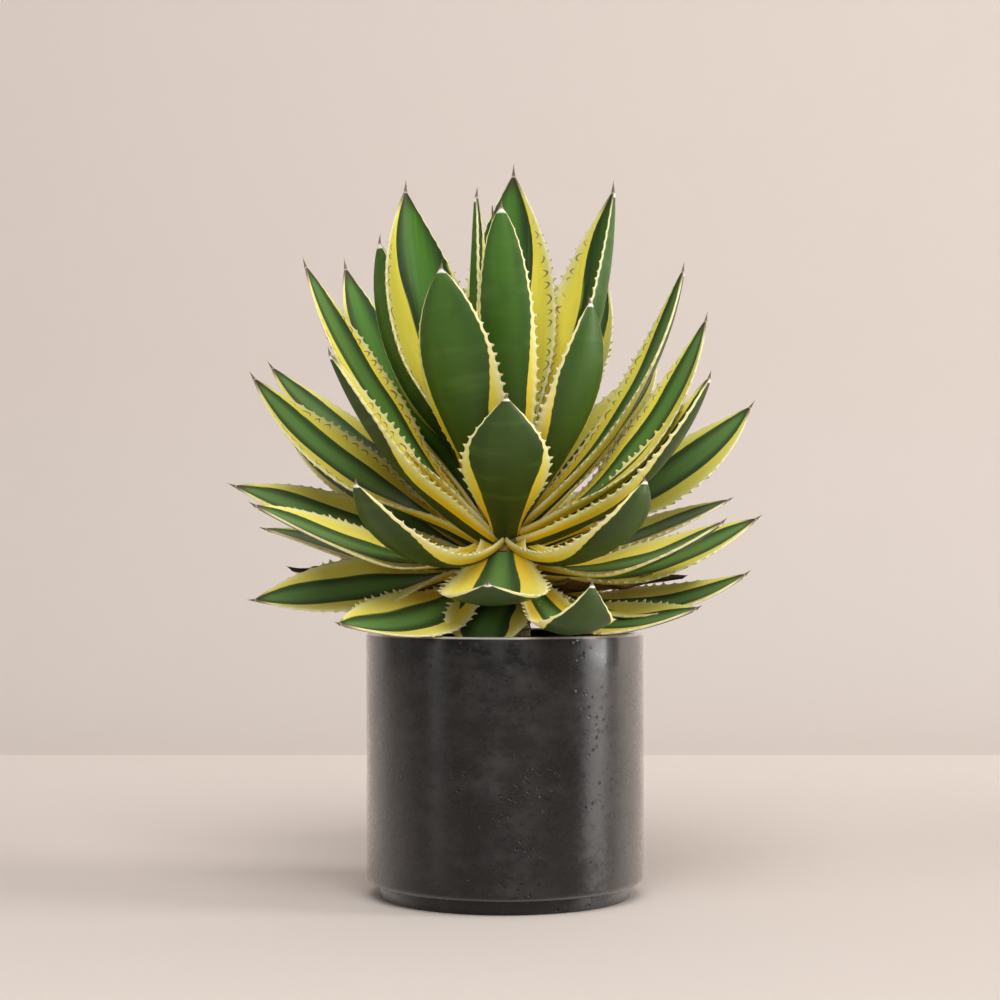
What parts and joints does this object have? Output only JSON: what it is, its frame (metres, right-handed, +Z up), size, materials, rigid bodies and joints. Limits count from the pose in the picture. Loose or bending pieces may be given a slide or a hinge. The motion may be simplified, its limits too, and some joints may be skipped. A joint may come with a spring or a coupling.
{
  "type": "potted variegated century plant",
  "caption": "Rosette succulent with toothed, yellow-edged green leaves on a short stem, in a plain cylindrical dark glazed pot filled with potting mix.",
  "frame": {"origin": "centre of the pot's flat underside", "axes": "+Z up along the pot's axis; -Y is the side facing the viewer in the picture; +X to the viewer's right"},
  "size_m": [0.291, 0.2533, 0.405],
  "materials": {
    "pot": "satin dark glaze, faintly mottled",
    "potting_mix": "loose bark and peat",
    "stem": "pale fleshy stem, matte",
    "bud": "smooth waxy",
    "leaf": "smooth waxy green with yellow margins",
    "dry_leaf": "dry brown leaf"
  },
  "bodies": {
    "root": {"pot": "pot", "potting_mix": "potting_mix", "stem": "stem", "bud": "bud", "leaf_01": "leaf", "leaf_02": "leaf", "leaf_03": "leaf", "leaf_04": "leaf", "leaf_05": "leaf", "leaf_06": "leaf", "leaf_07": "leaf", "leaf_08": "leaf", "leaf_09": "leaf", "leaf_10": "leaf", "leaf_11": "leaf", "leaf_12": "leaf", "leaf_13": "leaf", "leaf_14": "leaf", "leaf_15": "leaf", "leaf_16": "leaf", "leaf_17": "leaf", "leaf_18": "leaf", "leaf_19": "leaf", "leaf_20": "leaf", "leaf_21": "leaf", "leaf_22": "leaf", "leaf_23": "leaf", "leaf_24": "leaf", "leaf_25": "leaf", "leaf_26": "leaf", "leaf_27": "leaf", "leaf_28": "leaf", "leaf_29": "leaf", "leaf_30": "leaf", "leaf_31": "leaf", "leaf_32": "leaf", "leaf_33": "leaf", "leaf_34": "leaf", "leaf_35": "leaf", "leaf_36": "leaf", "leaf_37": "leaf", "leaf_38": "leaf", "leaf_39": "leaf", "leaf_40": "leaf", "leaf_41": "leaf", "leaf_42": "leaf", "leaf_43": "leaf", "leaf_44": "leaf", "leaf_45": "leaf", "leaf_46": "leaf", "leaf_47": "leaf", "leaf_48": "leaf", "leaf_49": "leaf", "leaf_50": "leaf", "dry_leaf_51": "dry_leaf", "dry_leaf_52": "dry_leaf"}
  },
  "joints": []
}
